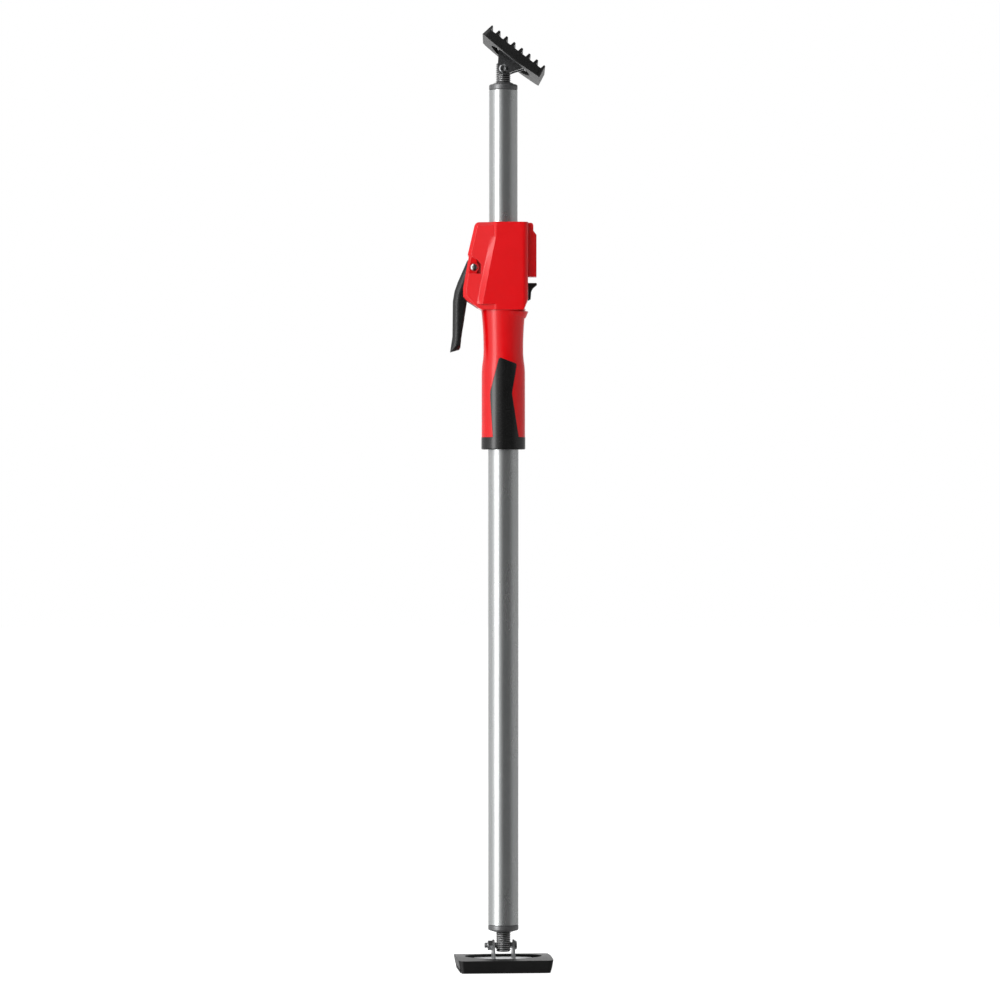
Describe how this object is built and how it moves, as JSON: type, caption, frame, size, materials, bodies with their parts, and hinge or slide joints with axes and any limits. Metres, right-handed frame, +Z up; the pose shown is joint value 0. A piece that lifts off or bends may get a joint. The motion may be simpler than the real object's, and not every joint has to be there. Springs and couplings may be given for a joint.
{
  "type": "telescopic drywall support",
  "caption": "Telescopic support pole with a pump handle, release trigger and swivelling rubber pads at both ends.",
  "frame": {"origin": "on the floor under the common axis of the two tubes", "axes": "+Z up along the tubes, +X towards the release trigger, -Y towards the viewer of the picture"},
  "size_m": [0.1083, 0.1, 0.987],
  "materials": {
    "tube_steel": "satin zinc plated",
    "cast_plug": "grey cast",
    "zinc_steel": "bright zinc plated",
    "pad_rubber": "moulded matt rubber",
    "red_housing": "fine textured red moulding",
    "soft_black": "soft touch black",
    "black_moulding": "fine textured black moulding",
    "guide_plastic": "smooth black",
    "plate_steel": "hardened, oiled",
    "spring_steel": "bright spring wire"
  },
  "bodies": {
    "handle": {"outer_tube": "tube_steel", "foot_plug": "cast_plug", "upper_guide_bush": "guide_plastic", "housing_front": "red_housing", "housing_back": "red_housing", "soft_grip": "soft_black", "lever_pin": "zinc_steel", "drive_spring": "spring_steel", "brake_spring": "spring_steel", "housing_screws": "zinc_steel"},
    "inner_tube": {"inner_tube": "tube_steel", "top_plug": "cast_plug", "lower_guide_bush": "guide_plastic"},
    "top_stud": {"top_stud": "zinc_steel"},
    "top_pad": {"top_rubber_pad": "pad_rubber", "top_bracket": "zinc_steel", "top_pivot_bolt": "zinc_steel", "top_pivot_nut": "zinc_steel"},
    "foot_stud": {"foot_stud": "zinc_steel"},
    "foot_pad": {"foot_rubber_pad": "pad_rubber", "foot_bracket": "zinc_steel", "foot_pivot_bolt": "zinc_steel", "foot_pivot_nut": "zinc_steel"},
    "lever": {"lever": "black_moulding"},
    "drive": {"drive_plate": "plate_steel"},
    "brake": {"brake_plate": "plate_steel", "release_trigger": "black_moulding"}
  },
  "joints": [
    {"name": "telescope", "type": "slide", "parent": "handle", "child": "inner_tube", "axis": [0, 0, 1], "range_m": [-0.135, 0.35]},
    {"name": "top_swivel", "type": "hinge", "parent": "inner_tube", "child": "top_stud", "pos_m": [0, 0, 0.9233], "axis": [0, 0, 1], "range_deg": [-180, 180]},
    {"name": "top_tilt", "type": "hinge", "parent": "top_stud", "child": "top_pad", "pos_m": [0, 0, 0.945], "axis": [0, 1, 0], "range_deg": [-82.5, 7.5]},
    {"name": "foot_swivel", "type": "hinge", "parent": "handle", "child": "foot_stud", "pos_m": [0, 0, 0.0478], "axis": [0, 0, 1], "range_deg": [-180, 180]},
    {"name": "foot_tilt", "type": "hinge", "parent": "foot_stud", "child": "foot_pad", "pos_m": [0, 0, 0.0261], "axis": [0.9962, 0.0872, 0], "range_deg": [-45, 45]},
    {"name": "lever_squeeze", "type": "hinge", "parent": "handle", "child": "lever", "pos_m": [-0.0305, 0, 0.7367], "axis": [0, -1, 0], "range_deg": [0, 15], "stiffness_Nm_per_rad": 0.8, "springref_deg": -5.73},
    {"name": "drive_tip", "type": "hinge", "parent": "handle", "child": "drive", "pos_m": [0.02, 0, 0.73809], "axis": [0, 1, 0], "range_deg": [0, 3.45], "deforming": ["drive_spring"]},
    {"name": "brake_release", "type": "hinge", "parent": "handle", "child": "brake", "pos_m": [-0.0175, 0, 0.7178], "axis": [0, -1, 0], "range_deg": [0, 5.9], "stiffness_Nm_per_rad": 0.5, "springref_deg": -5.73, "deforming": ["brake_spring"]}
  ],
  "couplings": [
    {"joint": "drive_tip", "follows": "lever_squeeze", "ratio": 0.2265}
  ]
}
